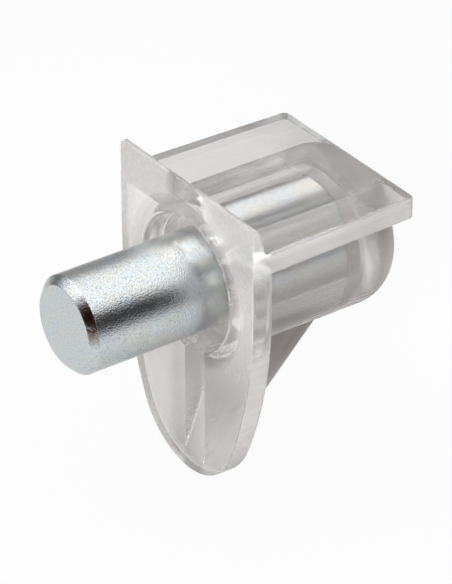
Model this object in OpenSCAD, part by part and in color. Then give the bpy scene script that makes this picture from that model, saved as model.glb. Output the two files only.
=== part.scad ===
// Shelf support pin: a plated steel pin pressed into a clear moulded bracket.
// The pin points along -Y into the cabinet side, +Z is up, and the origin lies on the pin's axis
// in the plane of the wall face. The shelf lies on the bracket's platform, behind the wall face.

/* [Pin] */
// Diameter of the steel pin
pin_d = 5; // [3:0.1:7]
// Length of pin that stands out of the wall face
pin_out = 7; // [4:0.1:12]
// Length of pin inside the bracket, from the wall face
pin_in = 7.8; // [6:0.1:10]
// Chamfer on both ends of the pin
pin_chamfer = 0.4; // [0.1:0.05:0.8]
// Narrowing of the held half towards its end, so that it presses in
pin_taper = 0.02; // [0.01:0.01:0.1]

/* [Barrel] */
// Wall of plastic round the pin
barrel_wall = 1.4; // [0.8:0.1:2]
// Radial clearance between pin and bore
bore_clearance = 0.01; // [0:0.01:0.05]
// Air left in the bore past the inner end of the pin
bore_gap = 0.4; // [0.1:0.1:1]
// Solid plastic past the end of the bore
barrel_cap = 2.4; // [1:0.1:4]
// Rounding of the closed end of the barrel
barrel_round = 1.9; // [0.3:0.1:1.9]
// Fillet between barrel and plate
barrel_fillet = 0.3; // [0.1:0.05:0.5]

/* [Recess] */
// Radial width of the recess round the pin on the wall face
recess_w = 0.9; // [0.3:0.05:2]
// Depth of that recess from the wall face
recess_depth = 1; // [0.2:0.05:1.1]
// Rounding of its rim
recess_round = 0.3; // [0.05:0.05:0.5]

/* [Wall plate] */
// Width of the plate
plate_w = 11; // [10:0.1:16]
// Thickness of the plate
plate_t = 1.3; // [1.2:0.1:3]
// Distance from the pin's axis down to the tip of the tongue
plate_drop = 10.7; // [9:0.1:16]
// Height above the pin's axis where the sides begin to curve in
shoulder_z = 0.4; // [-1:0.1:1.5]
// Radius of the tip of the tongue
tip_r = 4; // [2.5:0.1:4.5]
// Rounding of the plate's rear edge
plate_round = 0.4; // [0.1:0.05:0.6]

/* [Platform] */
// Height of the shelf surface above the pin's axis
shelf_z = 3.95; // [3.95:0.05:6]
// Thickness of the platform
shelf_t = 1.15; // [0.8:0.05:2]
// Depth of the platform from the wall face
shelf_depth = 9.8; // [6:0.1:14]
// Width of the platform at its rear edge
shelf_rear_w = 10.5; // [8:0.1:10.9]
// Rounding of the platform's rear corners, seen from above
shelf_corner_r = 0.4; // [0.1:0.05:1]
// Rounding of the platform's upper edges
shelf_round = 0.2; // [0.05:0.05:0.4]

/* [Lip] */
// Height of the lip above the shelf surface
lip_h = 1.5; // [0.8:0.1:3]
// Thickness of the lip at its foot
lip_foot_t = 0.65; // [0.4:0.05:1.1]
// Thickness of the lip at its top
lip_top_t = 0.35; // [0.25:0.05:0.4]
// Rounding of the lip's rear upper edge
lip_round = 0.2; // [0.05:0.05:0.2]
// Rounding of the lip's two upper corners, seen from the wall
lip_corner_r = 0.4; // [0.1:0.05:0.7]
// Fillet between lip and platform
lip_fillet = 0.25; // [0.1:0.05:0.4]

/* [Fin] */
// Thickness of the fin
fin_t = 1.65; // [0.8:0.05:3]
// Distance from the wall face to the fin's end under the barrel
fin_reach = 7.8; // [3:0.1:8]
// Height of the fin's lower end above the tip of the tongue
fin_tip_gap = 0.25; // [0.2:0.05:3]
// Rounding of the fin's free edge
fin_round = 0.3; // [0.05:0.05:0.35]

/* [Hidden] */
$fn = 96;

pin_r = pin_d / 2;
pin_end_r = pin_r - pin_taper;
bore_end = pin_in + bore_gap;
barrel_r = pin_r + barrel_wall;
barrel_end = bore_end + barrel_cap;
// Depth inside the plate, and radius inside the barrel's wall, at which joining shapes start
plate_mid = plate_t / 2;
barrel_mid_r = pin_r + barrel_wall / 2;
recess_r = pin_r + recess_w;

plate_hw = plate_w / 2;
tip_z = tip_r - plate_drop;
// The side arc leaves the straight side at the shoulder and runs into the tip's circle without a corner
side_rise = shoulder_z - tip_z;
side_r = (plate_hw ^ 2 + side_rise ^ 2 - tip_r ^ 2) / (2 * (plate_hw - tip_r));
// Slope of the line through the centres of side arc and tip, on which the two arcs meet
meet_angle = atan(side_rise / (side_r - plate_hw));

shelf_rear_hw = shelf_rear_w / 2;
shelf_under_z = shelf_z - shelf_t;
shelf_mid_z = shelf_z - shelf_t / 2;
shelf_taper = atan((plate_hw - shelf_rear_hw) / (shelf_depth - plate_t));
lip_top_z = shelf_z + lip_h;

fin_low = plate_drop - fin_tip_gap;
fin_angle = atan((fin_reach - plate_t) / (fin_low - barrel_r));
fin_edge = sqrt((fin_reach - plate_t) ^ 2 + (fin_low - barrel_r) ^ 2);
// Cutting shapes pass the faces that they cut by this much
over = 1;

// Draw a shape with x across and y up, and carry it back from the wall face
module along_y(depth) {
    translate([0, depth, 0])
        rotate([90, 0, 0])
            linear_extrude(depth)
                children();
}

// Draw a shape with x back and y up, and carry it across the plate's width
module along_x(width) {
    rotate([90, 0, 90])
        linear_extrude(width, center = true)
            children();
}

// Draw half a section with x outward and y back, and turn it through an angle about the pin's direction,
// counted downward from the right
module swept_y(from, sweep) {
    rotate([-90, 0, 0])
        rotate([0, 0, from])
            rotate_extrude(angle = sweep)
                children();
}

// The same through a full turn
module turned_y() {
    rotate([-90, 0, 0])
        rotate_extrude()
            children();
}

// Half a section of the plate: square at the wall face, rounded at the rear edge
module plate_section(reach) {
    square([reach - plate_round, plate_t]);
    square([reach, plate_t - plate_round]);
    translate([reach - plate_round, plate_t - plate_round])
        circle(plate_round);
}

// The straight-sided part of the plate, from the shoulder up into the platform
module plate_upper() {
    translate([0, 0, shoulder_z])
        linear_extrude(shelf_mid_z - shoulder_z) {
            plate_section(plate_hw);
            mirror([1, 0])
                plate_section(plate_hw);
        }
}

// A band along the plate's right curved side, from the shoulder to the line on which the tip begins
module plate_side() {
    translate([plate_hw - side_r, 0, shoulder_z])
        swept_y(0, meet_angle)
            translate([side_r - tip_r, 0])
                plate_section(tip_r);
}

// The round tip of the tongue
module plate_tip() {
    translate([0, 0, tip_z])
        swept_y(meet_angle, 180 - 2 * meet_angle)
            plate_section(tip_r);
}

// The middle of the tongue, reaching halfway into the bands and the tip
module plate_core() {
    inset = tip_r / 2;
    along_y(plate_t)
        polygon([
            [inset - plate_hw, shoulder_z], [plate_hw - inset, shoulder_z],
            [inset, tip_z - inset], [-inset, tip_z - inset]
        ]);
}

// The wall plate
module plate() {
    plate_upper();
    plate_side();
    mirror([1, 0, 0])
        plate_side();
    plate_tip();
    plate_core();
}

// The platform seen from above: flush with the plate, then narrowing to its rear edge
module shelf_outline() {
    corner_x = shelf_rear_hw + shelf_corner_r * (tan(shelf_taper) - 1 / cos(shelf_taper));
    corner_y = shelf_depth - shelf_corner_r;
    side_x = corner_x + shelf_corner_r * cos(shelf_taper);
    side_y = corner_y + shelf_corner_r * sin(shelf_taper);
    polygon([
        [-plate_hw, 0], [plate_hw, 0], [plate_hw, plate_t], [side_x, side_y], [corner_x, shelf_depth],
        [-corner_x, shelf_depth], [-side_x, side_y], [-plate_hw, plate_t]
    ]);
    for (side = [-1, 1])
        translate([side * corner_x, corner_y])
            circle(shelf_corner_r);
}

// A block drawn from its outer upper edge, with that edge rounded: x outward, y up
module rounded_edge_block(inward, down) {
    translate([-inward, -down])
        square([inward - shelf_round, down]);
    translate([-inward, -down])
        square([inward, down - shelf_round]);
    translate([-shelf_round, -shelf_round])
        circle(shelf_round);
}

// Everything inside the platform's right side, whose upper edge is rounded
module shelf_side(reach, down) {
    translate([plate_hw, plate_t, shelf_z])
        rotate([0, 0, shelf_taper])
            translate([0, -reach, 0])
                along_y(2 * reach)
                    rounded_edge_block(reach, down);
}

// The platform, with its rear and side edges rounded on top
module platform() {
    reach = 2 * plate_w;
    down = 2 * shelf_t;
    intersection() {
        translate([0, 0, shelf_under_z])
            linear_extrude(shelf_t)
                shelf_outline();
        translate([0, shelf_depth, shelf_z])
            along_x(reach)
                rounded_edge_block(reach, down);
        shelf_side(reach, down);
        mirror([1, 0, 0])
            shelf_side(reach, down);
    }
}

// Section of the lip: upright at the wall face, leaning at the rear, with a fillet at its foot
module lip_section() {
    polygon([
        [0, shelf_mid_z], [lip_foot_t, shelf_mid_z], [lip_foot_t, shelf_z], [lip_top_t, lip_top_z - lip_round],
        [lip_top_t - lip_round, lip_top_z], [0, lip_top_z]
    ]);
    translate([lip_top_t - lip_round, lip_top_z - lip_round])
        circle(lip_round);
    difference() {
        translate([lip_top_t, shelf_mid_z])
            square([lip_foot_t + lip_fillet - lip_top_t, shelf_z + lip_fillet - shelf_mid_z]);
        translate([lip_foot_t + lip_fillet, shelf_z + lip_fillet])
            circle(lip_fillet);
    }
}

// The lip that keeps the shelf off the cabinet side, with its two upper corners rounded
module lip() {
    corner_x = plate_hw - lip_corner_r;
    corner_z = lip_top_z - lip_corner_r;
    intersection() {
        along_x(plate_w)
            lip_section();
        along_y(plate_t) {
            polygon([
                [-plate_hw, shelf_under_z], [plate_hw, shelf_under_z], [plate_hw, corner_z], [corner_x, lip_top_z],
                [-corner_x, lip_top_z], [-plate_hw, corner_z]
            ]);
            for (side = [-1, 1])
                translate([side * corner_x, corner_z])
                    circle(lip_corner_r);
        }
    }
}

// The barrel round the pin, closed and rounded at its rear end
module barrel() {
    turned_y()
        translate([0, plate_mid]) {
            square([barrel_r, barrel_end - barrel_round - plate_mid]);
            square([barrel_r - barrel_round, barrel_end - plate_mid]);
            translate([barrel_r - barrel_round, barrel_end - barrel_round - plate_mid])
                circle(barrel_round);
            difference() {
                square([barrel_r + barrel_fillet, plate_t + barrel_fillet - plate_mid]);
                translate([barrel_r + barrel_fillet, plate_t + barrel_fillet - plate_mid])
                    circle(barrel_fillet);
            }
        }
}

// The fin under the barrel: a bar along the sloping edge, cut off inside plate and barrel
module fin() {
    intersection() {
        translate([0, plate_t, -fin_low])
            rotate([-fin_angle, 0, 0])
                translate([0, 0, -fin_edge])
                    linear_extrude(3 * fin_edge) {
                        translate([-fin_t / 2, -2 * fin_edge])
                            square([fin_t, 2 * fin_edge - fin_round]);
                        translate([fin_round - fin_t / 2, -2 * fin_edge])
                            square([fin_t - 2 * fin_round, 2 * fin_edge]);
                        for (side = [-1, 1])
                            translate([side * (fin_t / 2 - fin_round), -fin_round])
                                circle(fin_round);
                    }
        translate([-fin_t, plate_mid, -fin_low])
            cube([2 * fin_t, barrel_end - plate_mid, fin_low - barrel_mid_r]);
    }
}

// The blind bore, and the recess with its rounded rim, as the shape to take away
module bore_and_recess() {
    rim_r = recess_r + recess_round;
    turned_y() {
        polygon([
            [0, 0], [pin_r + bore_clearance, 0], [pin_end_r + bore_clearance, pin_in],
            [pin_end_r + bore_clearance, bore_end], [0, bore_end]
        ]);
        translate([0, -over])
            square([recess_r, recess_depth + over]);
        difference() {
            translate([0, -over])
                square([rim_r, recess_round + over]);
            translate([rim_r, recess_round])
                circle(recess_round);
            translate([rim_r - recess_round, recess_round])
                square(recess_round);
        }
    }
}

// The clear moulding
module moulded_bracket() {
    color([0.86, 0.86, 0.85, 0.5])
        difference() {
            union() {
                plate();
                platform();
                lip();
                barrel();
                fin();
            }
            bore_and_recess();
        }
}

// The steel pin, turned from bar
module steel_pin() {
    color([0.72, 0.74, 0.76])
        turned_y()
            polygon([
                [0, -pin_out], [pin_r - pin_chamfer, -pin_out], [pin_r, pin_chamfer - pin_out], [pin_r, 0],
                [pin_end_r, pin_in - pin_chamfer], [pin_end_r - pin_chamfer, pin_in], [0, pin_in]
            ]);
}

steel_pin();
moulded_bracket();
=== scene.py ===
"""Shelf support pin: zinc-plated steel in a clear moulded bracket, dressed around its CAD frame.

The frame has the pin along -Y, +Z up, and the origin on the pin's axis in the plane of the wall
face. Sizes are in millimetres and repeat those of the CAD source, unless a name or a comment says
otherwise. Meshes are written in metres.
"""

import logging
import math
from dataclasses import dataclass, field
from enum import Enum

import bmesh
import bpy
import numpy as np
from mathutils import Matrix, Vector


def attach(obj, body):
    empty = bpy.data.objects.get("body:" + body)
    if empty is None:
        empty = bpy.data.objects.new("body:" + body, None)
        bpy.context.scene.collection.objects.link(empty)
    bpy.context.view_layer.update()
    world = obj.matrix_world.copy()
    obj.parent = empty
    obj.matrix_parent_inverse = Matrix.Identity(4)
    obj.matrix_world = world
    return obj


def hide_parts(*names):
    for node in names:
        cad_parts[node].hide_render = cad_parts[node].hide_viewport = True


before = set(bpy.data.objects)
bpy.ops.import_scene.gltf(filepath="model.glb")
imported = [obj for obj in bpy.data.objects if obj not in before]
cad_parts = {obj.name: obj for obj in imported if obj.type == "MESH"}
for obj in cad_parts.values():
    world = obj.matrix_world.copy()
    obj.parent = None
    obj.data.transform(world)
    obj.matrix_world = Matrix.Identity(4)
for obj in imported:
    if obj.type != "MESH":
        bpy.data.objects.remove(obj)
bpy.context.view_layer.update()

LOG = logging.getLogger("shelf_support")
MM = 0.001

# Points closer than this, in metres, are merged
MERGE_M = 1e-7

# How strongly large faces lead the smoothed normals, in percent
LEAD_WEIGHT = 100

# Octaves of finer noise
FINE_DETAIL = 3.0
SOFT_DETAIL = 2.0

# Sockets of the colour mix node, whose other kinds use the same names
MIX_FACTOR, MIX_FIRST, MIX_SECOND, MIX_RESULT = 0, 6, 7, 2

Array = np.ndarray
Span = tuple[float, float]
Colour = tuple[float, float, float]
Axes = tuple[float, float, float]
Tree = bpy.types.NodeTree
Socket = bpy.types.NodeSocket
Level = Socket | float

EVEN: Axes = (1.0, 1.0, 1.0)
UNIT: Span = (0.0, 1.0)


class Join(Enum):
    """How one solid is combined with another."""

    ADD = "UNION"
    CUT = "DIFFERENCE"


class Piece(Enum):
    """The two pieces: the CAD node that each replaces."""

    PIN = "steel_pin"
    BRACKET = "moulded_bracket"


class Slot(Enum):
    """The record's material slots."""

    STEEL = "zinc_steel"
    PLASTIC = "clear_plastic"


class Axis(Enum):
    """The axis along which an outline is carried."""

    BACK = 1
    UP = 2


def arc(centre: Span, radius: float, start: float, end: float, count: int) -> Array:
    """Points on a circular arc: centre + radius * (cos, sin) of evenly spaced angles.

    Args:
        centre: Centre of the arc in its own plane, in millimetres.
        radius: Radius in millimetres.
        start: First angle in degrees.
        end: Last angle in degrees.
        count: Number of points, both ends included.

    Returns:
        An array of shape (count, 2).
    """
    angle = np.radians(np.linspace(start, end, count))
    return np.array(centre) + radius * np.stack((np.cos(angle), np.sin(angle)), axis=1)


def rounded_outline(corners: Array, radii: Array, count: int) -> tuple[Array, Array]:
    """A closed outline whose corners are rounded by arcs tangent to both neighbouring edges.

    Each corner's arc turns its normal from one edge's outward normal to the next edge's, about a
    centre that lies one radius inside both edges.

    Args:
        corners: Corner points in counter-clockwise order, shape (k, 2), in millimetres.
        radii: Radius of each corner, shape (k,).
        count: Points on each arc.

    Returns:
        The outline's points and their outward unit normals, each of shape (k * count, 2).
    """
    edge = np.roll(corners, -1, axis=0) - corners
    edge = edge / np.linalg.norm(edge, axis=1, keepdims=True)
    after = np.stack((edge[:, 1], -edge[:, 0]), axis=1)
    before = np.roll(after, 1, axis=0)
    half = before + after
    centre = corners - radii[:, None] * half * 2 / np.sum(half * half, axis=1, keepdims=True)
    first = np.arctan2(before[:, 1], before[:, 0])
    turn = np.mod(np.arctan2(after[:, 1], after[:, 0]) - first, 2 * np.pi)
    angle = first[:, None] + turn[:, None] * np.linspace(0, 1, count)[None, :]
    normal = np.stack((np.cos(angle), np.sin(angle)), axis=2)
    point = centre[:, None, :] + radii[:, None, None] * normal
    return point.reshape(-1, 2), normal.reshape(-1, 2)


def mesh_from_rings(name: str, rings: Array) -> bpy.types.Object:
    """A closed solid from a grid of rings, with a flat cap on the first ring and on the last.

    Args:
        name: Name of the new object.
        rings: Points of shape (rings, points, 3) in millimetres; each ring is closed on itself.

    Returns:
        The object, with its faces pointing outwards.
    """
    rows, cols = rings.shape[:2]
    row, col = np.meshgrid(np.arange(rows - 1), np.arange(cols), indexing="ij")
    here, beside = row * cols + col, row * cols + (col + 1) % cols
    quads = np.stack((here, beside, beside + cols, here + cols), axis=2)
    faces = quads.reshape(-1, 4).tolist()
    faces.append(list(range(cols)))
    faces.append(list(range((rows - 1) * cols, rows * cols)))
    mesh = bpy.data.meshes.new(name)
    mesh.from_pydata((rings.reshape(-1, 3) * MM).tolist(), [], faces)
    work = bmesh.new()
    work.from_mesh(mesh)
    bmesh.ops.remove_doubles(work, verts=work.verts, dist=MERGE_M)
    bmesh.ops.recalc_face_normals(work, faces=work.faces)
    work.to_mesh(mesh)
    work.free()
    obj = bpy.data.objects.new(name, mesh)
    bpy.context.scene.collection.objects.link(obj)
    return obj


def turned(name: str, profile: Array, segments: int) -> bpy.types.Object:
    """A solid of revolution about the pin's axis: each profile point (radius, y) becomes a circle.

    Args:
        name: Name of the new object.
        profile: Points (radius, y) in millimetres, from one flat end to the other, shape (n, 2).
        segments: Points on each circle.

    Returns:
        The object.
    """
    angle = np.linspace(0, 2 * np.pi, segments, endpoint=False)
    radius, depth = profile[:, :1], profile[:, 1:]
    rings = np.stack((radius * np.cos(angle), depth + 0 * angle, radius * np.sin(angle)), axis=2)
    return mesh_from_rings(name, rings)


def carried(name: str, outline: tuple[Array, Array], profile: Array,
            along: Axis) -> bpy.types.Object:
    """A solid from an outline carried along an axis: each point less its inset times its normal.

    Args:
        name: Name of the new object.
        outline: Points of the outline and their outward normals, each of shape (n, 2).
        profile: Inset and place along the axis, shape (m, 2), in millimetres.
        along: The axis.

    Returns:
        The object.
    """
    points, normals = outline
    flat = points[None, :, :] - profile[:, :1, None] * normals[None, :, :]
    columns = [flat[:, :, 0], flat[:, :, 1]]
    columns.insert(along.value, np.broadcast_to(profile[:, 1:], flat.shape[:2]))
    return mesh_from_rings(name, np.stack(columns, axis=2))


def combine(target: bpy.types.Object, tool: bpy.types.Object, how: Join) -> None:
    """Combine a tool solid with a target solid in place, and remove the tool.

    Args:
        target: Solid that stays.
        tool: Solid that is added or cut away.
        how: Whether the tool is added or cut.
    """
    step = target.modifiers.new(tool.name, "BOOLEAN")
    step.operation = how.value
    step.solver = "EXACT"
    step.object = tool
    ready = target.evaluated_get(bpy.context.evaluated_depsgraph_get())
    shaped = bpy.data.meshes.new_from_object(ready)
    target.modifiers.clear()
    old = target.data
    target.data = shaped
    bpy.data.meshes.remove(old)
    mesh = tool.data
    bpy.data.objects.remove(tool)
    bpy.data.meshes.remove(mesh)


def dress(obj: bpy.types.Object, material: bpy.types.Material, sharp_deg: float) -> None:
    """Give a solid its material, smooth faces with sharp edges, and normals led by its large faces.

    Args:
        obj: The solid.
        material: Its finish.
        sharp_deg: Edges that bend by more than this stay sharp.
    """
    obj.data.materials.clear()
    obj.data.materials.append(material)
    obj.data.shade_smooth()
    obj.data.set_sharp_from_angle(angle=math.radians(sharp_deg))
    lead = obj.modifiers.new("large_faces_lead", "WEIGHTED_NORMAL")
    lead.keep_sharp = True
    lead.weight = LEAD_WEIGHT


def socket_tree(name: str) -> tuple[bpy.types.Material, Tree, bpy.types.Node]:
    """A new node material.

    Args:
        name: Name of the material.

    Returns:
        The material, its node tree and its Principled node.
    """
    material = bpy.data.materials.new(name)
    material.use_nodes = True
    tree = material.node_tree
    return material, tree, tree.nodes["Principled BSDF"]


def add_noise(tree: Tree, scale: float, detail: float, stretch: Axes) -> Socket:
    """A noise pattern on Object coordinates, stretched along the axes.

    Args:
        tree: Node tree of the material.
        scale: Cells per metre.
        detail: Octaves of finer noise.
        stretch: Factors on the three coordinates.

    Returns:
        The socket with the noise.
    """
    place = tree.nodes.new("ShaderNodeTexCoord")
    mapping = tree.nodes.new("ShaderNodeMapping")
    mapping.inputs["Scale"].default_value = stretch
    noise = tree.nodes.new("ShaderNodeTexNoise")
    noise.inputs["Scale"].default_value = scale
    noise.inputs["Detail"].default_value = detail
    tree.links.new(place.outputs["Object"], mapping.inputs["Vector"])
    tree.links.new(mapping.outputs["Vector"], noise.inputs["Vector"])
    return noise.outputs["Fac"]


def add_range(tree: Tree, source: Socket, span: Span, first: float, last: float) -> Socket:
    """Map a span of values to a new range, with both ends clamped.

    Args:
        tree: Node tree of the material.
        source: Socket that gives the value.
        span: Source values at the start and the end.
        first: Result at the start.
        last: Result at the end.

    Returns:
        The socket with the result.
    """
    node = tree.nodes.new("ShaderNodeMapRange")
    values = {"From Min": span[0], "From Max": span[1], "To Min": first, "To Max": last}
    for key, value in values.items():
        node.inputs[key].default_value = value
    tree.links.new(source, node.inputs["Value"])
    return node.outputs["Result"]


def add_step(tree: Tree, source: Socket, span_mm: Span, first: float, last: float) -> Socket:
    """A ramp over a span of lengths.

    Args:
        tree: Node tree of the material.
        source: Socket that gives a length in metres.
        span_mm: Start and end of the ramp in millimetres.
        first: Value before the ramp.
        last: Value after it.

    Returns:
        The socket with the result.
    """
    return add_range(tree, source, (span_mm[0] * MM, span_mm[1] * MM), first, last)


def add_colour_mix(tree: Tree, factor: Socket, first: Socket | Colour,
                   second: Socket | Colour) -> Socket:
    """Mix two colours by a factor.

    Args:
        tree: Node tree of the material.
        factor: Socket that gives the share of the second colour.
        first: Colour or socket at factor 0.
        second: Colour or socket at factor 1.

    Returns:
        The socket with the mixed colour.
    """
    node = tree.nodes.new("ShaderNodeMix")
    node.data_type = "RGBA"
    tree.links.new(factor, node.inputs[MIX_FACTOR])
    for index, value in ((MIX_FIRST, first), (MIX_SECOND, second)):
        if isinstance(value, tuple):
            node.inputs[index].default_value = (*value, 1)
        else:
            tree.links.new(value, node.inputs[index])
    return node.outputs[MIX_RESULT]


def add_math(tree: Tree, operation: str, first: Socket, *others: Level) -> Socket:
    """Arithmetic on a socket and any further values, taken one after the other.

    Args:
        tree: Node tree of the material.
        operation: Name of the operation.
        first: First value.
        others: Further values; none for an operation that takes one.

    Returns:
        The socket with the result.
    """
    result = first
    for other in others or (0.0,):
        node = tree.nodes.new("ShaderNodeMath")
        node.operation = operation
        tree.links.new(result, node.inputs[0])
        if isinstance(other, (int, float)):
            node.inputs[1].default_value = other
        else:
            tree.links.new(other, node.inputs[1])
        result = node.outputs[0]
    return result


def add_vector(tree: Tree, operation: str, source: Socket, other: Axes = EVEN) -> bpy.types.Node:
    """One step of vector arithmetic on a socket and, where the operation takes two, a fixed vector.

    Args:
        tree: Node tree of the material.
        operation: Name of the operation.
        source: Socket that gives the vector.
        other: The fixed vector.

    Returns:
        The node, whose outputs are a Vector and a Value.
    """
    node = tree.nodes.new("ShaderNodeVectorMath")
    node.operation = operation
    node.inputs[1].default_value = other
    tree.links.new(source, node.inputs[0])
    return node


def add_bump(tree: Tree, height: Socket, share: float, depth_mm: float) -> Socket:
    """A bump fed by a height pattern.

    Args:
        tree: Node tree of the material.
        height: Socket that gives the height.
        share: Share of the bump that shows.
        depth_mm: Height of the pattern in millimetres.

    Returns:
        The socket with the bent normal.
    """
    node = tree.nodes.new("ShaderNodeBump")
    node.inputs["Strength"].default_value = share
    node.inputs["Distance"].default_value = depth_mm * MM
    tree.links.new(height, node.inputs["Height"])
    return node.outputs["Normal"]


def seen_share(tree: Tree, direct: float, through: Level, mirrored: float) -> Socket:
    """How white the surroundings are to the eye, through clear plastic, and in mirror images.

    Args:
        tree: Node tree of the floor or the world.
        direct: Value for rays from the eye.
        through: Value for rays that have gone through plastic.
        mirrored: Value for rays that come off a shiny face.

    Returns:
        The socket with the largest of the values that apply to a ray, or 0.
    """
    path = tree.nodes.new("ShaderNodeLightPath").outputs
    seen = add_math(tree, "MULTIPLY", path["Is Camera Ray"], direct)
    clear = add_math(tree, "MULTIPLY", path["Is Transmission Ray"], through)
    shiny = add_math(tree, "MULTIPLY", path["Is Glossy Ray"], mirrored)
    return add_math(tree, "MAXIMUM", seen, clear, shiny)


@dataclass(frozen=True)
class Place:
    """Where a point lies on the part and which way its face points, as sockets of one tree."""

    tree: Tree
    across: Socket
    back: Socket
    up: Socket
    off_axis: Socket
    radius: Socket
    face_across: Socket
    face_back: Socket
    face_up: Socket

    @classmethod
    def read(cls, tree: Tree) -> "Place":
        """Take the place from Object coordinates and the direction from the face's normal.

        Args:
            tree: Node tree of the material.

        Returns:
            The place, with lengths in metres and the pin's axis as the axis.
        """
        point = tree.nodes.new("ShaderNodeTexCoord").outputs["Object"]
        normal = tree.nodes.new("ShaderNodeNewGeometry").outputs["Normal"]
        part = tree.nodes.new("ShaderNodeSeparateXYZ")
        face = tree.nodes.new("ShaderNodeSeparateXYZ")
        tree.links.new(point, part.inputs[0])
        tree.links.new(normal, face.inputs[0])
        off_axis = add_vector(tree, "MULTIPLY", point, (1, 0, 1)).outputs["Vector"]
        radius = add_vector(tree, "LENGTH", off_axis).outputs["Value"]
        return cls(tree, *part.outputs, off_axis, radius, *face.outputs)

    def ramp(self, source: Socket, span_mm: Span, first: float, last: float) -> Socket:
        """A ramp over a span of lengths in millimetres, in the place's own tree."""
        return add_step(self.tree, source, span_mm, first, last)

    def product(self, first: Socket, *others: Socket) -> Socket:
        """Where all of the masks apply."""
        return add_math(self.tree, "MULTIPLY", first, *others)

    def largest(self, first: Socket, *others: Socket) -> Socket:
        """Where any of the masks applies."""
        return add_math(self.tree, "MAXIMUM", first, *others)

    def facing(self, side: Socket, cosines: Span, first: float, last: float) -> Socket:
        """A ramp over how squarely a face points along an axis, either way."""
        return add_range(self.tree, add_math(self.tree, "ABSOLUTE", side), cosines, first, last)


@dataclass(frozen=True)
class ZincPlate:
    """Zinc-plated steel: grey metal with a fine crystal grain, a faint tint and a painted dark
    reflection.
    """

    grey: Colour = (0.70, 0.765, 0.80)
    dark_grain: Colour = (0.45, 0.49, 0.51)
    warm_tint: Colour = (0.745, 0.755, 0.70)
    # Colour of the painted dark reflection on the front chamfer
    painted_reflection: Colour = (0.17, 0.09, 0.065)
    rough: Span = (0.10, 0.26)
    bump_share: float = 1.0
    grain_mm: float = 0.018

    # Noise: cells per metre, stretch, and the values between which it takes effect
    grain_per_m: float = 13000.0
    cloud_per_m: float = 1400.0
    reflection_patch_per_m: float = 2600.0
    cloud_stretch: Axes = (1.0, 0.5, 1.0)
    tint_values: Span = (0.4, 0.7)
    speck_values: Span = (0.46, 0.72)
    rough_values: Span = (0.3, 0.7)
    patch_values: Span = (0.3, 0.5)
    patch_least: float = 0.3

    # The painted reflection's place: front chamfer, turn about the axis, and cosines over which it
    # fades in
    chamfer_y_mm: Span = (-6.64, -6.60)
    chamfer_r_mm: Span = (2.10, 2.14)
    reflection_deg: float = 33.0
    reflection_cosines: Span = (0.83, 0.98)

    def painted_reflection_mask(self, tree: Tree) -> Socket:
        """A patchy mask on the front chamfer, strongest in one direction from the pin's axis, where
        a dark reflection is painted.

        Args:
            tree: Node tree of the material.

        Returns:
            The socket with the mask.
        """
        at = Place.read(tree)
        turn = math.radians(self.reflection_deg)
        unit = add_vector(tree, "NORMALIZE", at.off_axis).outputs["Vector"]
        aim = (math.cos(turn), 0, math.sin(turn))
        toward = add_vector(tree, "DOT_PRODUCT", unit, aim).outputs["Value"]
        noise = add_noise(tree, self.reflection_patch_per_m, FINE_DETAIL, EVEN)
        return at.product(
            at.ramp(at.back, self.chamfer_y_mm, 1, 0),
            at.ramp(at.radius, self.chamfer_r_mm, 0, 1),
            add_range(tree, noise, self.patch_values, self.patch_least, 1),
            add_range(tree, toward, self.reflection_cosines, 0, 1),
        )

    def make(self) -> bpy.types.Material:
        """Build the material: grain drives colour, roughness and bump, clouds drive the tint, and a
        painted dark reflection browns part of the front chamfer.

        Returns:
            The material.
        """
        material, tree, shader = socket_tree("zinc_plate")
        grain = add_noise(tree, self.grain_per_m, FINE_DETAIL, EVEN)
        cloud = add_noise(tree, self.cloud_per_m, SOFT_DETAIL, self.cloud_stretch)
        warmth = add_range(tree, cloud, self.tint_values, 0, 1)
        speck = add_range(tree, grain, self.speck_values, 0, 1)
        tint = add_colour_mix(tree, warmth, self.grey, self.warm_tint)
        plated = add_colour_mix(tree, speck, tint, self.dark_grain)
        # Painted reflection: a dark brown patch on the front chamfer, where it mirrors a dark part
        # of the room
        colour = add_colour_mix(tree, self.painted_reflection_mask(tree), plated, self.painted_reflection)
        rough = add_range(tree, grain, self.rough_values, *self.rough)
        bump = add_bump(tree, grain, self.bump_share, self.grain_mm)
        shader.inputs["Metallic"].default_value = 1.0
        tree.links.new(colour, shader.inputs["Base Color"])
        tree.links.new(rough, shader.inputs["Roughness"])
        tree.links.new(bump, shader.inputs["Normal"])
        return material


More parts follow.
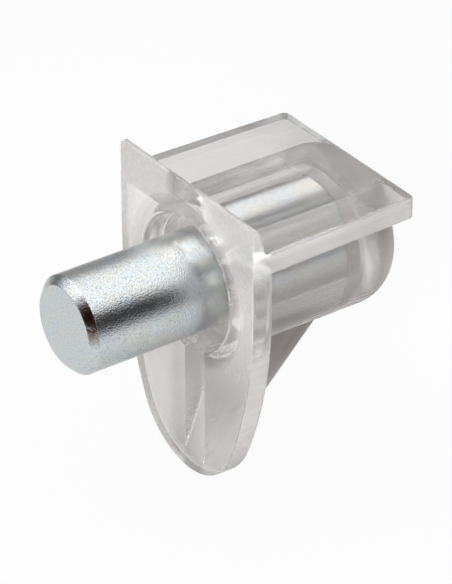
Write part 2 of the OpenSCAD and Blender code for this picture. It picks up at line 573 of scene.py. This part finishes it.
@dataclass(frozen=True)
class ClearPlastic:
    """Clear moulded plastic: polished faces, satin and frosted places, and painted shade on fin and
    barrel.
    """

    colour: Colour = (0.957, 0.935, 0.922)
    # Grey of the painted shade on the fin, lower barrel and domed end
    painted_shade_tint: Colour = (0.33, 0.295, 0.275)
    index: float = 1.5

    # Clearness, and what takes some of it away
    clear: float = 0.985
    satin_loss: float = 0.30
    cloud_loss: float = 0.03
    streak_loss: float = 0.05

    # Roughness of polished faces, and what adds to it
    rough: Span = (0.02, 0.07)
    satin_rough: float = 0.12
    shade_place_rough: float = 0.30
    frosted_rough: float = 0.35
    streak_rough: float = 0.08

    # Noise: cells per metre, stretch, and the values between which it takes effect
    cloud_per_m: float = 260.0
    streak_per_m: float = 4000.0
    flow_per_m: float = 900.0
    streak_stretch: Axes = (1.0, 0.03, 1.0)
    flow_stretch: Axes = (0.3, 0.3, 1.6)
    cloud_values: Span = (0.3, 0.7)
    milky_values: Span = (0.4, 0.75)
    scuff_values: Span = (0.55, 0.75)
    flow_share: float = 0.1
    flow_mm: float = 0.01

    # Satin rim faces: where they begin and fade, and how satin each place is
    rim_mm: Span = (4.0, 4.6)
    lip_mm: Span = (4.4, 4.8)
    fin_half_mm: Span = (1.0, 1.6)
    satin_low_mm: Span = (-5.0, -2.0)
    satin_low: float = 0.45
    edge_mm: Span = (-2.0, -1.0)
    edge_top_mm: Span = (2.4, 3.0)
    edge_satin: float = 0.25
    tip_mm: Span = (-8.5, -6.0)
    tip_satin: float = 0.4
    bore_mm: Span = (2.6, 2.7)
    pin_end_mm: Span = (7.3, 7.5)
    bore_end_mm: Span = (8.3, 8.4)

    # Places with painted shade: lower barrel, fin and domed end, with their shares of the tint
    plate_back_mm: Span = (1.25, 1.35)
    barrel_low_mm: Span = (-1.8, 0.4)
    low_share: float = 0.72
    fin_top_mm: Span = (-4.2, -2.2)
    fin_low_mm: Span = (-9.0, -5.5)
    fin_low_share: float = 0.5
    dome_mm: Span = (8.2, 8.9)
    dome_share: float = 0.92
    end_face_share: float = 0.2

    # Frosted underside of the platform
    shelf_under_mm: Span = (2.6, 2.8)
    shelf_mid_mm: Span = (2.9, 3.1)
    shelf_rear_mm: Span = (7.2, 8.4)

    # Cosines between which a face counts as turned to an axis
    upward: Span = (0.6, 0.95)
    sideways: Span = (0.8, 0.95)
    rearward: Span = (0.5, 0.9)
    end_on: Span = (0.7, 0.97)
    level: Span = (0.8, 0.95)

    def side_face(self, at: Place) -> Socket:
        """Faces that don't look to the front or the rear."""
        return at.facing(at.face_back, self.rearward, 1, 0)

    def tip_rim(self, at: Place) -> Socket:
        """The plate's rim round its tip.

        Args:
            at: Place and direction of the face.

        Returns:
            The socket with the mask.
        """
        on_plate = at.ramp(at.back, self.plate_back_mm, 1, 0)
        return at.product(self.side_face(at), on_plate, at.ramp(at.up, self.tip_mm, 1, 0))

    def satin_rims(self, at: Place) -> Socket:
        """Rim faces of plate, lip and platform, less those that look up, are on the fin or worn.

        Args:
            at: Place and direction of the face.

        Returns:
            The socket with the mask.
        """
        aside = add_math(at.tree, "ABSOLUTE", at.across)
        not_up = at.largest(add_range(at.tree, at.face_up, self.upward, 1, 0),
                            at.ramp(at.up, self.lip_mm, 0, 1))
        upper = at.largest(self.side_face(at), at.ramp(at.up, self.satin_low_mm, self.satin_low, 1))
        beside_pin = at.product(at.ramp(at.up, self.edge_mm, 0, 1),
                                at.ramp(at.up, self.edge_top_mm, 1, 0),
                                at.facing(at.face_across, self.sideways, 0, 1))
        worn = add_range(at.tree, beside_pin, UNIT, 1, self.edge_satin)
        return at.product(at.ramp(at.radius, self.rim_mm, 0, 1), not_up, upper,
                          at.ramp(aside, self.fin_half_mm, 0, 1), worn)

    def satin_mask(self, at: Place) -> Socket:
        """Satin rim faces, evened out round the tip, and the bare end of the bore.

        Args:
            at: Place and direction of the face.

        Returns:
            The socket with the mask.
        """
        tip = self.tip_rim(at)
        off_tip = at.product(self.satin_rims(at), add_range(at.tree, tip, UNIT, 1, 0))
        even = add_math(at.tree, "ADD", off_tip, add_range(at.tree, tip, UNIT, 0, self.tip_satin))
        bare_bore = at.product(at.ramp(at.back, self.pin_end_mm, 0, 1),
                               at.ramp(at.back, self.bore_end_mm, 1, 0),
                               at.ramp(at.radius, self.bore_mm, 1, 0))
        return at.largest(even, bare_bore)

    def shade_and_rough_mask(self, at: Place) -> Socket:
        """Where shade is painted into the base colour and roughness is added: the fin, the lower
        barrel and its domed end.

        Args:
            at: Place and direction of the face.

        Returns:
            The socket with the mask.
        """
        under = at.largest(at.ramp(at.up, self.barrel_low_mm, self.low_share, 0),
                           at.ramp(at.up, self.fin_top_mm, 1, 0))
        low = at.product(at.ramp(at.back, self.plate_back_mm, 0, 1), under,
                         at.ramp(at.up, self.fin_low_mm, self.fin_low_share, 1))
        dome = at.product(at.ramp(at.back, self.dome_mm, 0, self.dome_share),
                          add_range(at.tree, at.face_back, self.end_on, 1, self.end_face_share),
                          at.ramp(at.up, self.shelf_under_mm, 1, 0))
        return at.largest(low, dome)

    def frosted_mask(self, at: Place) -> Socket:
        """Frosted places: the platform's underside at the rear, and the rim round the tip.

        Args:
            at: Place and direction of the face.

        Returns:
            The socket with the mask.
        """
        beneath = at.product(at.facing(at.face_up, self.level, 0, 1),
                             at.ramp(at.up, self.shelf_under_mm, 0, 1),
                             at.ramp(at.up, self.shelf_mid_mm, 1, 0),
                             at.ramp(at.back, self.shelf_rear_mm, 0, 1))
        return at.largest(beneath, self.tip_rim(at))

    def make(self) -> bpy.types.Material:
        """Build the material: masks and noise drive clearness and roughness, a mask paints shade
        into the base colour, flow marks the bump.

        Returns:
            The material.
        """
        material, tree, shader = socket_tree("clear_plastic")
        at = Place.read(tree)
        satin, shade_and_rough, frosted = self.satin_mask(at), self.shade_and_rough_mask(at), self.frosted_mask(at)
        cloud = add_noise(tree, self.cloud_per_m, FINE_DETAIL, EVEN)
        streak = add_noise(tree, self.streak_per_m, SOFT_DETAIL, self.streak_stretch)
        flow = add_noise(tree, self.flow_per_m, SOFT_DETAIL, self.flow_stretch)
        clearness = add_math(
            tree, "SUBTRACT",
            add_range(tree, satin, UNIT, self.clear, self.clear - self.satin_loss),
            add_range(tree, cloud, self.cloud_values, 0, self.cloud_loss),
            add_range(tree, streak, self.milky_values, 0, self.streak_loss),
        )
        dull = at.largest(
            add_range(tree, satin, UNIT, 0, self.satin_rough),
            add_range(tree, shade_and_rough, UNIT, 0, self.shade_place_rough),
            add_range(tree, frosted, UNIT, 0, self.frosted_rough),
        )
        rough = add_math(
            tree, "ADD", dull,
            add_range(tree, cloud, self.cloud_values, *self.rough),
            add_range(tree, streak, self.scuff_values, 0, self.streak_rough),
        )
        # Painted shade: the base colour greys toward the shade tint on the fin, lower barrel and
        # domed end
        colour = add_colour_mix(tree, shade_and_rough, self.colour, self.painted_shade_tint)
        bump = add_bump(tree, flow, self.flow_share, self.flow_mm)
        shader.inputs["IOR"].default_value = self.index
        tree.links.new(colour, shader.inputs["Base Color"])
        tree.links.new(clearness, shader.inputs["Transmission Weight"])
        tree.links.new(rough, shader.inputs["Roughness"])
        tree.links.new(bump, shader.inputs["Normal"])
        return material


@dataclass
class SteelPin:
    """The pin: a turned bar with a chamfer at each end and slightly broken edges."""

    radius: float = 2.5
    front: float = -7.0
    rear: float = 7.8
    chamfer: float = 0.4
    taper: float = 0.02
    edge_round: float = 0.05
    edge_points: int = 5
    segments: int = 256
    sharp_deg: float = 40.0
    finish: ZincPlate = field(default_factory=ZincPlate)

    def profile(self) -> Array:
        """The half section: chamfered ends whose corners are rounded by short arcs.

        Returns:
            Points (radius, y) from the edge of the front face to the edge of the rear one.
        """
        end_r = self.radius - self.taper
        corners = np.array([
            (0.0, self.front),
            (self.radius - self.chamfer, self.front),
            (self.radius, self.front + self.chamfer),
            (self.radius, 0.0),
            (end_r, self.rear - self.chamfer),
            (end_r - self.chamfer, self.rear),
            (0.0, self.rear),
        ])
        radii = np.full(len(corners), self.edge_round)
        radii[[0, -1]] = 0.0
        points, _ = rounded_outline(corners, radii, self.edge_points)
        return points[self.edge_points:-self.edge_points]

    def build(self) -> bpy.types.Object:
        """Turn the profile and dress it.

        Returns:
            The pin.
        """
        obj = turned("zinc_pin", self.profile(), self.segments)
        dress(obj, self.finish.make(), self.sharp_deg)
        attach(obj, "root")
        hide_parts(Piece.PIN.value)
        return obj


@dataclass
class Bracket:
    """The clear moulding: plate with lip, platform, barrel and fin, less the bore and recess."""

    # Wall plate
    plate_hw: float = 5.5
    plate_t: float = 1.3
    plate_drop: float = 10.7
    shoulder_z: float = 0.4
    tip_r: float = 4.0
    rear_round: float = 0.4
    front_round: float = 0.08
    top_corner_r: float = 0.41

    # Platform
    shelf_z: float = 3.95
    shelf_t: float = 1.15
    shelf_depth: float = 9.8
    shelf_rear_hw: float = 5.25
    shelf_corner_r: float = 0.4
    shelf_round: float = 0.2
    shelf_under_round: float = 0.06

    # Lip, and how far the tool that frees it reaches past the plate
    lip_h: float = 1.5
    lip_foot_t: float = 0.65
    lip_top_t: float = 0.35
    lip_round: float = 0.2
    lip_fillet: float = 0.25
    cut_over: float = 1.0
    cut_width: float = 1.5

    # Pin, bore and barrel
    pin_r: float = 2.5
    pin_in: float = 7.8
    pin_taper: float = 0.02
    bore_gap: float = 0.02
    bore_end: float = 8.2
    barrel_r: float = 3.9
    barrel_end: float = 10.6
    barrel_round: float = 1.9
    barrel_fillet: float = 0.3

    # Recess, and where its rim begins
    recess_r: float = 3.4
    recess_depth: float = 1.0
    recess_round: float = 0.3
    floor_round: float = 0.1
    mouth_over: float = 0.1
    mouth_lead: float = 1.0
    mouth_hair: float = 0.01
    mouth_deg: float = 265.0

    # Fin, and how far it is carried past the barrel's wall as a share of its slope
    fin_t: float = 1.65
    fin_reach: float = 7.8
    fin_low: float = 10.45
    fin_round: float = 0.3
    fin_over: float = 1.12

    # Fineness: points on arcs, rings along a length, and the overlap of joined solids
    edge_points: int = 5
    floor_points: int = 8
    fin_points: int = 9
    corner_points: int = 10
    shelf_points: int = 12
    round_points: int = 14
    dome_points: int = 40
    side_points: int = 60
    tip_points: int = 100
    barrel_rings: int = 24
    fin_rings: int = 60
    segments: int = 288
    hair: float = 0.005
    sharp_deg: float = 32.0
    finish: ClearPlastic = field(default_factory=ClearPlastic)

    @property
    def lip_top_z(self) -> float:
        """Height of the lip's upper edge."""
        return self.shelf_z + self.lip_h

    def plate_outline(self) -> tuple[Array, Array]:
        """The plate seen from the wall: upper corners, curved sides and round tip as tangent arcs.

        Each side arc leaves the straight side at the shoulder and meets the tip's circle on the
        line through both centres, so its radius follows from the half width, the drop and the
        tip's radius.

        Returns:
            Points (x, z) and outward normals.
        """
        tip_z = self.tip_r - self.plate_drop
        rise = self.shoulder_z - tip_z
        narrowing = self.plate_hw - self.tip_r
        side_r = (self.plate_hw**2 + rise**2 - self.tip_r**2) / (2 * narrowing)
        side_x = side_r - self.plate_hw
        meet = math.degrees(math.atan2(rise, side_x))
        corner_x, corner_z = self.plate_hw - self.top_corner_r, self.lip_top_z - self.top_corner_r
        stretches = (
            ((corner_x, corner_z), self.top_corner_r, 0, 90, self.corner_points),
            ((-corner_x, corner_z), self.top_corner_r, 90, 180, self.corner_points),
            ((side_x, self.shoulder_z), side_r, 180, 180 + meet, self.side_points),
            ((0, tip_z), self.tip_r, 180 + meet, 360 - meet, self.tip_points),
            ((-side_x, self.shoulder_z), side_r, 360 - meet, 360, self.side_points),
        )
        points = np.concatenate([arc(*s) for s in stretches])
        normals = np.concatenate([arc((0, 0), 1, *s[2:]) for s in stretches])
        return points, normals

    def plate(self) -> bpy.types.Object:
        """The plate at full height: its outline carried back, drawn in at front and rear edges.

        Returns:
            The solid.
        """
        front_c = (self.front_round, self.front_round)
        rear_c = (self.rear_round, self.plate_t - self.rear_round)
        profile = np.concatenate((
            arc(front_c, self.front_round, 270, 180, self.edge_points),
            arc(rear_c, self.rear_round, 180, 90, self.round_points),
        ))
        return carried("plate", self.plate_outline(), profile, Axis.BACK)

    def lip_cutter(self) -> bpy.types.Object:
        """What is taken from the plate behind the lip: a section carried straight across it.

        Returns:
            The solid.
        """
        over, behind = self.lip_top_z + self.cut_over, self.plate_t + self.cut_over
        round_c = (self.lip_top_t - self.lip_round, self.lip_top_z - self.lip_round)
        foot_c = (self.lip_foot_t + self.lip_fillet, self.shelf_z + self.lip_fillet)
        section = np.concatenate((
            [(round_c[0], over)],
            arc(round_c, self.lip_round, 90, 0, self.corner_points),
            arc(foot_c, self.lip_fillet, 180, 270, self.corner_points),
            [(behind, self.shelf_z - self.hair), (behind, over)],
        ))
        ends = np.array([-self.cut_width, self.cut_width]) * self.plate_hw
        across, back, up = np.broadcast_arrays(ends[:, None], section[:, 0], section[:, 1])
        return mesh_from_rings("lip_cutter", np.stack((across, back, up), axis=2))

    def platform(self) -> bpy.types.Object:
        """The platform: a rounded trapezoid carried up, drawn in at lower and upper edges.

        Returns:
            The solid.
        """
        half, front = self.plate_hw - self.hair, self.plate_t / 2
        rear_half, rear = self.shelf_rear_hw, self.shelf_depth
        corners = np.array([(-half, front), (half, front), (rear_half, rear), (-rear_half, rear)])
        radii = np.full(len(corners), self.shelf_corner_r)
        outline = rounded_outline(corners, radii, self.round_points)
        under = self.shelf_z - self.shelf_t
        low_c = (self.shelf_under_round, under + self.shelf_under_round)
        high_c = (self.shelf_round, self.shelf_z - self.shelf_round)
        profile = np.concatenate((
            arc(low_c, self.shelf_under_round, 270, 180, self.edge_points),
            arc(high_c, self.shelf_round, 180, 90, self.shelf_points),
        ))
        return carried("platform", outline, profile, Axis.UP)

    def barrel(self) -> bpy.types.Object:
        """The barrel: a turned profile with a fillet at the plate and a rounded closed end.

        Returns:
            The solid.
        """
        foot_r = self.barrel_r + self.barrel_fillet
        wall_start = self.plate_t - self.hair + self.barrel_fillet
        wall_end = self.barrel_end - self.barrel_round
        wall_y = np.linspace(wall_start, wall_end, self.barrel_rings + 2)[1:-1]
        dome_c = (self.barrel_r - self.barrel_round, wall_end)
        profile = np.concatenate((
            [(foot_r, self.plate_t / 2)],
            arc((foot_r, wall_start), self.barrel_fillet, 270, 180, self.corner_points),
            np.stack((np.full(self.barrel_rings, self.barrel_r), wall_y), axis=1),
            arc(dome_c, self.barrel_round, 0, 90, self.dome_points),
        ))
        return turned("barrel", profile, self.segments)

    def fin(self) -> bpy.types.Object:
        """The fin: a round-edged section carried up its sloping edge into plate and barrel.

        The section stands square to the sloping edge. Its height at each place is the distance to
        the middle of the plate or to the barrel's inside, whichever comes first.

        Returns:
            The solid.
        """
        rise, run = self.fin_low - self.barrel_r, self.fin_reach - self.plate_t
        slope = math.atan2(run, rise)
        along = np.linspace(0, self.fin_over, self.fin_rings)
        edge_y = self.plate_t + run * along
        edge_z = -self.fin_low + rise * along
        inside_z = -(self.pin_r + self.barrel_r) / 2
        to_plate = (edge_y - self.plate_t / 2) / math.cos(slope)
        to_barrel = (inside_z - edge_z) / math.sin(slope)
        reach = np.maximum(np.minimum(to_plate, to_barrel), 2 * self.fin_round)
        half = self.fin_t / 2
        right_c = (half - self.fin_round, self.fin_round)
        right = arc(right_c, self.fin_round, 270, 360, self.fin_points)
        edge = np.concatenate((right[::-1] * (-1, 1), right))
        across = np.concatenate((edge[:, 0], [half, -half]))
        foot = np.broadcast_to(edge[:, 1], (self.fin_rings, len(edge)))
        tall = np.concatenate((foot, reach[:, None], reach[:, None]), axis=1)
        back = edge_y[:, None] - tall * math.cos(slope)
        up = edge_z[:, None] + tall * math.sin(slope)
        rings = np.stack((np.broadcast_to(across, tall.shape), back, up), axis=2)
        return mesh_from_rings("fin", rings)

    def hollow(self) -> bpy.types.Object:
        """What is taken away round the pin: rim, recess, and a bore with a hair of air in it.

        Returns:
            The solid.
        """
        rim_r = self.recess_r + self.recess_round
        mouth_r = rim_r + self.mouth_over
        bore = self.pin_r + self.bore_gap
        end = bore - self.pin_taper
        floor_c = (self.recess_r - self.floor_round, self.recess_depth - self.floor_round)
        end_c = (end - self.floor_round, self.bore_end - self.floor_round)
        profile = np.concatenate((
            [(mouth_r, -self.mouth_lead), (mouth_r, -self.mouth_hair)],
            arc((rim_r, self.recess_round), self.recess_round, self.mouth_deg, 180,
                self.round_points),
            arc(floor_c, self.floor_round, 0, 90, self.floor_points),
            [(bore, self.recess_depth), (end, self.pin_in)],
            arc(end_c, self.floor_round, 0, 90, self.floor_points),
        ))
        return turned("hollow", profile, self.segments)

    def build(self) -> bpy.types.Object:
        """Join the solids, cut the hollow and dress the result.

        Returns:
            The moulding.
        """
        body = self.plate()
        combine(body, self.lip_cutter(), Join.CUT)
        combine(body, self.platform(), Join.ADD)
        combine(body, self.barrel(), Join.ADD)
        combine(body, self.fin(), Join.ADD)
        combine(body, self.hollow(), Join.CUT)
        body.name = "clear_moulding"
        body.data.name = body.name
        dress(body, self.finish.make(), self.sharp_deg)
        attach(body, "root")
        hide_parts(Piece.BRACKET.value)
        return body


@dataclass(frozen=True)
class Lobe:
    """A part of the room that is brighter or darker than the rest: a soft cone round a direction.

    The change fades in from the outer cosine to the inner one.
    """

    direction: Axes
    outer: float
    inner: float
    change: float

    def add_to(self, tree: Tree, level: Level) -> Socket:
        """Add the lobe's change to a brightness.

        Args:
            tree: Node tree of the world.
            level: Brightness without the lobe.

        Returns:
            The socket with the brightness.
        """
        place = tree.nodes.new("ShaderNodeTexCoord").outputs["Generated"]
        aim = Vector(self.direction).normalized()
        toward = add_vector(tree, "DOT_PRODUCT", place, aim).outputs["Value"]
        cone = tree.nodes.new("ShaderNodeMapRange")
        cone.interpolation_type = "SMOOTHSTEP"
        cone.inputs["From Min"].default_value = self.outer
        cone.inputs["From Max"].default_value = self.inner
        cone.inputs["To Max"].default_value = self.change
        tree.links.new(toward, cone.inputs["Value"])
        return add_math(tree, "ADD", cone.outputs["Result"], level)


@dataclass
class Studio:
    """Floor, light and camera round the part."""

    # Floor: size and greys, and how white it is to the eye, through plastic and in mirror images
    floor_z: float = -11.2
    floor_half: float = 2000.0
    floor_rough: float = 0.9
    floor_grey: float = 0.66
    far_grey: float = 0.2
    fade_mm: Span = (40.0, 110.0)
    camera_white: float = 0.93
    seen_white: float = 0.12
    mirrored_white: float = 0.06

    # Room: brightness as light, to the eye, through plastic and in mirror images
    room_light: float = 0.16
    room_direct: float = 1.0
    room_seen: float = 0.85
    room_mirrored: float = 0.04
    lobes: tuple[Lobe, ...] = (
        Lobe((0.00, 0.05, 1.00), 0.56, 0.76, 1.10),
        Lobe((-0.45, -0.66, 0.60), 0.80, 0.95, 1.00),
        Lobe((-0.83, 0.49, 0.25), 0.77, 0.97, 0.20),
        Lobe((0.86, 0.49, 0.15), 0.80, 0.95, -0.16),
        Lobe((0.40, -0.87, 0.25), 0.80, 0.95, -0.16),
    )
    seen_lobes: tuple[Lobe, ...] = (
        Lobe((0.00, 0.05, 1.00), 0.25, 0.60, 0.75),
        Lobe((0.86, 0.49, -0.05), 0.70, 0.97, -0.40),
    )

    # Fill lamp: place and size in metres
    fill_place: Axes = (0.18, -0.24, 0.10)
    fill_size: float = 0.15
    fill_watts: float = 0.9

    # Camera: angles in degrees, and the frame's long side in pixels
    azimuth: float = 54.503
    elevation: float = 31.70
    distance: float = 177.7
    aim_right: float = 1.939
    aim_up: float = -0.465
    focal_px: float = 3700.5
    frame_px: int = 584
    sensor_mm: float = 36.0
    clip_m: float = 0.01
    bounces: int = 48

    def floor_finish(self) -> bpy.types.Material:
        """A pale finish that darkens with distance and glows to the eye, to metal and to plastic.

        Returns:
            The material.
        """
        material, tree, shader = socket_tree("pale_floor")
        shader.inputs["Roughness"].default_value = self.floor_rough
        point = tree.nodes.new("ShaderNodeTexCoord").outputs["Object"]
        away = add_vector(tree, "LENGTH", point).outputs["Value"]
        fade = add_step(tree, away, self.fade_mm, 0, 1)
        pale = add_colour_mix(tree, fade, (self.floor_grey,) * 3, (self.far_grey,) * 3)
        tree.links.new(pale, shader.inputs["Base Color"])
        glow = tree.nodes.new("ShaderNodeEmission")
        mix = tree.nodes.new("ShaderNodeMixShader")
        share = seen_share(tree, self.camera_white, self.seen_white, self.mirrored_white)
        tree.links.new(share, mix.inputs[0])
        tree.links.new(shader.outputs[0], mix.inputs[1])
        tree.links.new(glow.outputs[0], mix.inputs[2])
        tree.links.new(mix.outputs[0], tree.nodes["Material Output"].inputs[0])
        return material

    def floor(self) -> bpy.types.Object:
        """A wide floor under the part, which keeps a faint shadow.

        Returns:
            The floor.
        """
        corners = np.array([(-1.0, -1, 0), (1, -1, 0), (1, 1, 0), (-1, 1, 0)]) * self.floor_half
        corners[:, 2] = self.floor_z
        mesh = bpy.data.meshes.new("floor")
        mesh.from_pydata((corners * MM).tolist(), [], [(0, 1, 2, 3)])
        mesh.materials.append(self.floor_finish())
        obj = bpy.data.objects.new("floor", mesh)
        bpy.context.scene.collection.objects.link(obj)
        return obj

    def world(self) -> None:
        """A plain room whose brightness is a base plus soft cones, by the direction of the ray."""
        world = bpy.data.worlds.new("studio")
        bpy.context.scene.world = world
        world.use_nodes = True
        tree = world.node_tree
        level: Level = self.room_light
        for lobe in self.lobes:
            level = lobe.add_to(tree, level)
        through: Level = self.room_seen
        for lobe in self.seen_lobes:
            through = lobe.add_to(tree, through)
        seen = seen_share(tree, self.room_direct, through, self.room_mirrored)
        background = tree.nodes["Background"]
        background.inputs["Color"].default_value = (1, 1, 1, 1)
        tree.links.new(add_math(tree, "MAXIMUM", seen, level), background.inputs["Strength"])

    def fill(self) -> None:
        """A soft lamp beside the camera that lights satin faces and shows in no mirror image."""
        data = bpy.data.lights.new("fill", "AREA")
        data.size = self.fill_size
        data.energy = self.fill_watts
        obj = bpy.data.objects.new("fill", data)
        bpy.context.scene.collection.objects.link(obj)
        turn = (-Vector(self.fill_place)).to_track_quat("-Z", "Y")
        obj.matrix_world = Matrix.Translation(self.fill_place) @ turn.to_matrix().to_4x4()
        obj.visible_camera = False
        obj.visible_glossy = False
        obj.visible_transmission = False

    def camera(self) -> None:
        """The camera, with the lens worked out from the frame's long side."""
        turn, tilt = math.radians(self.azimuth), math.radians(self.elevation)
        level = math.cos(tilt)
        back = Vector((math.sin(turn) * level, -math.cos(turn) * level, math.sin(tilt)))
        right = Vector((math.cos(turn), math.sin(turn), 0))
        up = back.cross(right)
        data = bpy.data.cameras.new("camera")
        data.sensor_width = self.sensor_mm
        data.lens = self.focal_px / self.frame_px * self.sensor_mm
        data.clip_start = self.clip_m
        obj = bpy.data.objects.new("camera", data)
        bpy.context.scene.collection.objects.link(obj)
        aim = (right * self.aim_right + up * self.aim_up) * MM
        facing = Matrix((right, up, back)).transposed().to_4x4()
        obj.matrix_world = Matrix.Translation(aim + back * self.distance * MM) @ facing
        bpy.context.scene.camera = obj

    def build(self) -> None:
        """Set up floor, room, fill lamp, camera and the depth to which light is followed."""
        self.floor()
        self.world()
        self.fill()
        self.camera()
        scene = bpy.context.scene
        scene.view_settings.view_transform = "Standard"
        scene.cycles.max_bounces = self.bounces
        scene.cycles.transmission_bounces = self.bounces
        scene.cycles.glossy_bounces = self.bounces


def main() -> None:
    """Build the pieces in order and report each one."""
    logging.basicConfig(level=logging.INFO, format="%(name)s: %(message)s")
    Studio().build()
    for piece in (SteelPin().build(), Bracket().build()):
        LOG.info("%s: %d vertices, %d faces", piece.name, len(piece.data.vertices),
                 len(piece.data.polygons))


if __name__ == "__main__":
    main()
